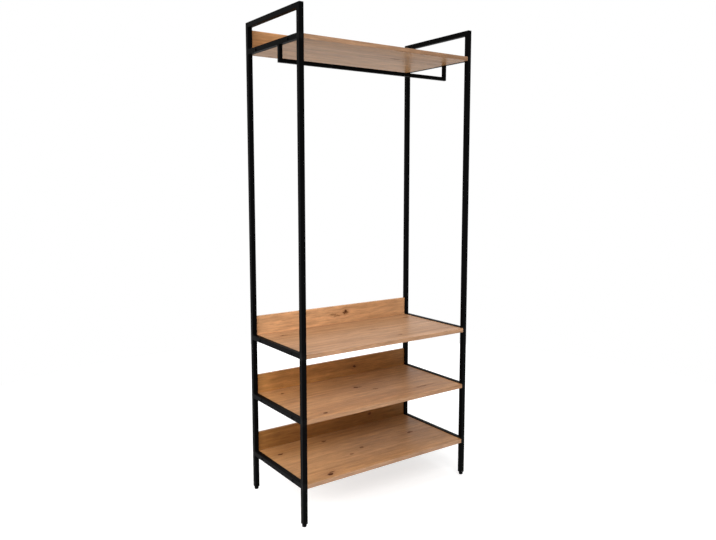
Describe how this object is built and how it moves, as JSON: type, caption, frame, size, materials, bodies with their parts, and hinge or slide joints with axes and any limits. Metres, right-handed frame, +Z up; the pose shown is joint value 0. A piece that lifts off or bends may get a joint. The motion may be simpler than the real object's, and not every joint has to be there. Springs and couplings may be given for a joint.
{
  "type": "open frame wardrobe",
  "caption": "Open wardrobe with square-tube side frames, oak shelves with back upstands, a hat shelf and a hanging clothes bar on levelling feet.",
  "frame": {"origin": "on the floor at the middle of the footprint", "axes": "+Z up, front towards -Y, +X to the right of someone who faces the front"},
  "size_m": [0.8048, 0.4, 1.85],
  "materials": {
    "black_powder_coat": "fine matte powder coat",
    "black_bolt": "black oxide",
    "oak_board": "satin oak decor",
    "oak_edge_band": "satin oak decor edge band",
    "zinc_steel": "zinc plated",
    "black_plastic": "matte moulded"
  },
  "bodies": {
    "body": {"clothes_bar": "black_powder_coat", "clothes_bar_bolts": "black_bolt", "clothes_bar_nut_blocks": "zinc_steel", "hat_shelf": "oak_board", "hat_shelf_bolts": "black_bolt", "hat_shelf_front_edge_band": "oak_edge_band", "hat_shelf_insert_nuts": "zinc_steel", "hat_shelf_upstand": "oak_board", "hat_shelf_upstand_screws": "zinc_steel", "left_clothes_bar_drop": "black_powder_coat", "left_front_tube_plug": "black_plastic", "left_front_upright": "black_powder_coat", "left_hat_rail": "black_powder_coat", "left_lower_rail": "black_powder_coat", "left_middle_rail": "black_powder_coat", "left_rear_tube_plug": "black_plastic", "left_rear_upright": "black_powder_coat", "left_top_rail": "black_powder_coat", "left_upper_rail": "black_powder_coat", "lower_shelf": "oak_board", "lower_shelf_bolts": "black_bolt", "lower_shelf_front_edge_band": "oak_edge_band", "lower_shelf_insert_nuts": "zinc_steel", "lower_shelf_upstand": "oak_board", "lower_shelf_upstand_screws": "zinc_steel", "middle_shelf": "oak_board", "middle_shelf_bolts": "black_bolt", "middle_shelf_front_edge_band": "oak_edge_band", "middle_shelf_insert_nuts": "zinc_steel", "middle_shelf_upstand": "oak_board", "middle_shelf_upstand_screws": "zinc_steel", "right_clothes_bar_drop": "black_powder_coat", "right_front_tube_plug": "black_plastic", "right_front_upright": "black_powder_coat", "right_hat_rail": "black_powder_coat", "right_lower_rail": "black_powder_coat", "right_middle_rail": "black_powder_coat", "right_rear_tube_plug": "black_plastic", "right_rear_upright": "black_powder_coat", "right_top_rail": "black_powder_coat", "right_upper_rail": "black_powder_coat", "upper_shelf": "oak_board", "upper_shelf_bolts": "black_bolt", "upper_shelf_front_edge_band": "oak_edge_band", "upper_shelf_insert_nuts": "zinc_steel", "upper_shelf_upstand": "oak_board", "upper_shelf_upstand_screws": "zinc_steel"},
    "left_front_foot": {"left_front_foot_pad": "black_plastic", "left_front_foot_stud": "zinc_steel"},
    "left_rear_foot": {"left_rear_foot_pad": "black_plastic", "left_rear_foot_stud": "zinc_steel"},
    "right_front_foot": {"right_front_foot_pad": "black_plastic", "right_front_foot_stud": "zinc_steel"},
    "right_rear_foot": {"right_rear_foot_pad": "black_plastic", "right_rear_foot_stud": "zinc_steel"}
  },
  "joints": [
    {"name": "left_front_foot_screw", "type": "slide", "parent": "body", "child": "left_front_foot", "axis": [0, 0, -1], "range_m": [0, 0.01]},
    {"name": "left_rear_foot_screw", "type": "slide", "parent": "body", "child": "left_rear_foot", "axis": [0, 0, -1], "range_m": [0, 0.01]},
    {"name": "right_front_foot_screw", "type": "slide", "parent": "body", "child": "right_front_foot", "axis": [0, 0, -1], "range_m": [0, 0.01]},
    {"name": "right_rear_foot_screw", "type": "slide", "parent": "body", "child": "right_rear_foot", "axis": [0, 0, -1], "range_m": [0, 0.01]}
  ]
}
